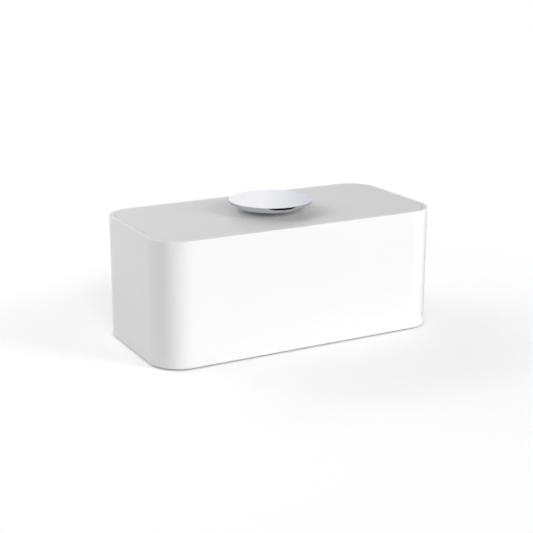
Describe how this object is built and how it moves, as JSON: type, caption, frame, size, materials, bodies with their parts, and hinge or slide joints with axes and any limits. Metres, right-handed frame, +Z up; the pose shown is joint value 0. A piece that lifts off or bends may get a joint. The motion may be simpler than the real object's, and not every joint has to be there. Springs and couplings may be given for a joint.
{
  "type": "cable management box",
  "caption": "Rounded rectangular cable box with a flush lift-off lid, a polished turning knob that locks it with a cross bar, rear cable outlets with soft grommets, vented base and rubber feet.",
  "frame": {"origin": "on the floor, under the middle of the box", "axes": "+X along the box's length to the right, -Y to the front, +Z up"},
  "size_m": [0.4, 0.196, 0.1765],
  "materials": {
    "white_shell": "satin white moulding",
    "white_lid": "fine matt white moulding",
    "base_plastic": "matt light grey moulding",
    "grommet_rubber": "soft matt grey",
    "foot_rubber": "matt black",
    "buffer_silicone": "translucent silicone",
    "polished_metal": "mirror polished",
    "turned_steel": "turned",
    "zinc_steel": "zinc plated",
    "acetal": "natural acetal",
    "bar_plastic": "glass-filled nylon"
  },
  "bodies": {
    "box": {"housing": "white_shell", "base_plate": "base_plastic", "base_screws": "zinc_steel", "foot_front_left": "foot_rubber", "foot_front_right": "foot_rubber", "foot_rear_left": "foot_rubber", "foot_rear_right": "foot_rubber", "outlet_grommet_left": "grommet_rubber", "outlet_grommet_right": "grommet_rubber", "lid_buffer_front_left": "buffer_silicone", "lid_buffer_front_right": "buffer_silicone", "lid_buffer_rear_left": "buffer_silicone", "lid_buffer_rear_right": "buffer_silicone", "lid_buffer_left_end": "buffer_silicone", "lid_buffer_right_end": "buffer_silicone"},
    "lid": {"lid_panel": "white_lid", "spindle_bush": "acetal"},
    "knob": {"knob_cap": "polished_metal", "knob_drum": "polished_metal", "cap_screws": "zinc_steel", "knob_spindle": "turned_steel", "spindle_screw": "zinc_steel", "wave_washer": "zinc_steel", "latch_bar": "bar_plastic", "spindle_washer": "zinc_steel", "spindle_nut": "zinc_steel"}
  },
  "joints": [
    {"name": "lid_lift", "type": "slide", "parent": "box", "child": "lid", "axis": [0, 0, 1], "range_m": [0, 0.15]},
    {"name": "knob_turn", "type": "hinge", "parent": "lid", "child": "knob", "pos_m": [0, 0, 0.1615], "axis": [0, 0, -1], "range_deg": [0, 90]}
  ]
}
